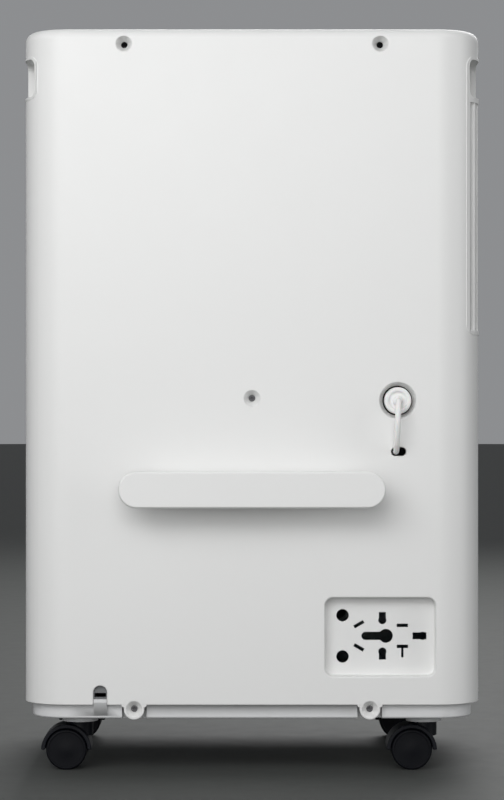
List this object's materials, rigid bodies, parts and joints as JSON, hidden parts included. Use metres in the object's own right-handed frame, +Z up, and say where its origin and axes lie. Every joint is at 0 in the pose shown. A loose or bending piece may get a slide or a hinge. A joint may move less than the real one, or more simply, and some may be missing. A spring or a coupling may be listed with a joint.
{
  "type": "portable dehumidifier",
  "caption": "Upright compressor dehumidifier on twin-wheel casters, with cord wrap, plug rest, rear drain port with tethered plug, side grips, outlet grille and pull-out tank.",
  "frame": {"origin": "on the floor, under the middle of the machine's outer box", "axes": "+Z up, -Y towards the front (tank and inlet grille), +Y towards the rear (cord wrap and drain port)"},
  "size_m": [0.2806, 0.241, 0.455],
  "materials": {
    "casing": "satin moulded ABS, fine texture, off-white",
    "base": "satin moulded ABS",
    "nozzle_black": "black plastic",
    "clamp_grey": "matte grey nylon",
    "steel": "zinc plated",
    "inner_grey": "matte grey polypropylene",
    "mesh": "nylon net",
    "hose": "soft PVC",
    "fins": "mill finish",
    "copper": "bright copper",
    "black_paint": "black enamel",
    "grommet": "black rubber",
    "motor": "dark enamel",
    "fan": "matte black",
    "board": "green solder mask",
    "display": "glossy black",
    "button": "satin light grey",
    "tank_clear": "translucent smoke-blue polypropylene",
    "lid": "satin",
    "handle": "matte dark grey",
    "foam": "closed-cell foam",
    "white_rubber": "white silicone rubber",
    "caster_black": "black nylon",
    "wheel_black": "black nylon, satin"
  },
  "bodies": {
    "casing": {"rear_cover": "casing", "front_cover": "casing", "top_panel": "casing", "base_tray": "base", "left_handle": "casing", "outlet_grille": "casing", "cord_wrap": "casing", "plug_rest": "casing", "drain_spigot": "nozzle_black", "cord_clamp": "clamp_grey", "casing_screws": "steel", "chassis_frame": "inner_grey", "drip_tray": "inner_grey", "drain_hose": "hose", "evaporator_fins": "fins", "evaporator_tube": "copper", "condenser_fins": "fins", "condenser_tube": "copper", "capillary_tube": "copper", "compressor": "black_paint", "compressor_grommets": "grommet", "accumulator": "black_paint", "discharge_pipe": "copper", "suction_pipe": "copper", "fan_scroll": "inner_grey", "fan_motor": "motor", "control_board": "board", "display_window": "display"},
    "filter_cassette": {"inlet_grille": "casing", "filter_frame": "inner_grey", "filter_mesh": "mesh"},
    "water_tank": {"tank": "tank_clear", "tank_front": "casing", "tank_lid": "lid"},
    "tank_bail": {"tank_handle": "handle"},
    "tank_float": {"float": "foam"},
    "drain_cap": {"drain_plug": "white_rubber", "drain_plug_tether": "white_rubber"},
    "blower": {"fan_wheel": "fan", "fan_shaft": "steel"},
    "power_key": {"power_button": "button"},
    "mode_key": {"mode_button": "button"},
    "humidity_key": {"humidity_button": "button"},
    "timer_key": {"timer_button": "button"},
    "rear_left_swivel": {"rear_left_caster": "caster_black", "rear_left_axle": "steel"},
    "rear_left_roller_in": {"rear_left_wheel_in": "wheel_black"},
    "rear_left_roller_out": {"rear_left_wheel_out": "wheel_black"},
    "rear_right_swivel": {"rear_right_caster": "caster_black", "rear_right_axle": "steel"},
    "rear_right_roller_in": {"rear_right_wheel_in": "wheel_black"},
    "rear_right_roller_out": {"rear_right_wheel_out": "wheel_black"},
    "front_left_swivel": {"front_left_caster": "caster_black", "front_left_axle": "steel"},
    "front_left_roller_in": {"front_left_wheel_in": "wheel_black"},
    "front_left_roller_out": {"front_left_wheel_out": "wheel_black"},
    "front_right_swivel": {"front_right_caster": "caster_black", "front_right_axle": "steel"},
    "front_right_roller_in": {"front_right_wheel_in": "wheel_black"},
    "front_right_roller_out": {"front_right_wheel_out": "wheel_black"}
  },
  "joints": [
    {"name": "filter_pull", "type": "slide", "parent": "casing", "child": "filter_cassette", "axis": [0, -1, 0], "range_m": [0, 0.03]},
    {"name": "tank_pull", "type": "slide", "parent": "casing", "child": "water_tank", "axis": [0, -1, 0], "range_m": [0, 0.16]},
    {"name": "bail_swing", "type": "hinge", "parent": "water_tank", "child": "tank_bail", "pos_m": [0, -0.1, 0.188], "axis": [1, 0, 0], "range_deg": [0, 90]},
    {"name": "float_rise", "type": "hinge", "parent": "water_tank", "child": "tank_float", "pos_m": [-0.056, -0.07, 0.168], "axis": [0, 1, 0], "range_deg": [0, 12]},
    {"name": "drain_plug_pull", "type": "slide", "parent": "casing", "child": "drain_cap", "axis": [0, 1, 0], "range_m": [0, 0.025]},
    {"name": "blower_spin", "type": "hinge", "parent": "casing", "child": "blower", "pos_m": [0, 0.04, 0.325], "axis": [0, 1, 0], "continuous": true},
    {"name": "power_press", "type": "slide", "parent": "casing", "child": "power_key", "axis": [0, 0, -1], "range_m": [0, 0.001], "stiffness_N_per_m": 600},
    {"name": "mode_press", "type": "slide", "parent": "casing", "child": "mode_key", "axis": [0, 0, -1], "range_m": [0, 0.001], "stiffness_N_per_m": 600},
    {"name": "humidity_press", "type": "slide", "parent": "casing", "child": "humidity_key", "axis": [0, 0, -1], "range_m": [0, 0.001], "stiffness_N_per_m": 600},
    {"name": "timer_press", "type": "slide", "parent": "casing", "child": "timer_key", "axis": [0, 0, -1], "range_m": [0, 0.001], "stiffness_N_per_m": 600},
    {"name": "rear_left_turn", "type": "hinge", "parent": "casing", "child": "rear_left_swivel", "pos_m": [0.1067, 0.0625, 0.02], "axis": [0, 0, 1], "continuous": true},
    {"name": "rear_left_roll_in", "type": "hinge", "parent": "rear_left_swivel", "child": "rear_left_roller_in", "pos_m": [0.1147, 0.0625, 0.0125], "axis": [0, 1, 0], "continuous": true},
    {"name": "rear_left_roll_out", "type": "hinge", "parent": "rear_left_swivel", "child": "rear_left_roller_out", "pos_m": [0.1147, 0.0625, 0.0125], "axis": [0, 1, 0], "continuous": true},
    {"name": "rear_right_turn", "type": "hinge", "parent": "casing", "child": "rear_right_swivel", "pos_m": [-0.1067, 0.0625, 0.02], "axis": [0, 0, 1], "continuous": true},
    {"name": "rear_right_roll_in", "type": "hinge", "parent": "rear_right_swivel", "child": "rear_right_roller_in", "pos_m": [-0.0987, 0.0625, 0.0125], "axis": [0, 1, 0], "continuous": true},
    {"name": "rear_right_roll_out", "type": "hinge", "parent": "rear_right_swivel", "child": "rear_right_roller_out", "pos_m": [-0.0987, 0.0625, 0.0125], "axis": [0, 1, 0], "continuous": true},
    {"name": "front_left_turn", "type": "hinge", "parent": "casing", "child": "front_left_swivel", "pos_m": [0.1067, -0.0885, 0.02], "axis": [0, 0, 1], "continuous": true},
    {"name": "front_left_roll_in", "type": "hinge", "parent": "front_left_swivel", "child": "front_left_roller_in", "pos_m": [0.1147, -0.0885, 0.0125], "axis": [0, 1, 0], "continuous": true},
    {"name": "front_left_roll_out", "type": "hinge", "parent": "front_left_swivel", "child": "front_left_roller_out", "pos_m": [0.1147, -0.0885, 0.0125], "axis": [0, 1, 0], "continuous": true},
    {"name": "front_right_turn", "type": "hinge", "parent": "casing", "child": "front_right_swivel", "pos_m": [-0.1067, -0.0885, 0.02], "axis": [0, 0, 1], "continuous": true},
    {"name": "front_right_roll_in", "type": "hinge", "parent": "front_right_swivel", "child": "front_right_roller_in", "pos_m": [-0.0987, -0.0885, 0.0125], "axis": [0, 1, 0], "continuous": true},
    {"name": "front_right_roll_out", "type": "hinge", "parent": "front_right_swivel", "child": "front_right_roller_out", "pos_m": [-0.0987, -0.0885, 0.0125], "axis": [0, 1, 0], "continuous": true}
  ]
}
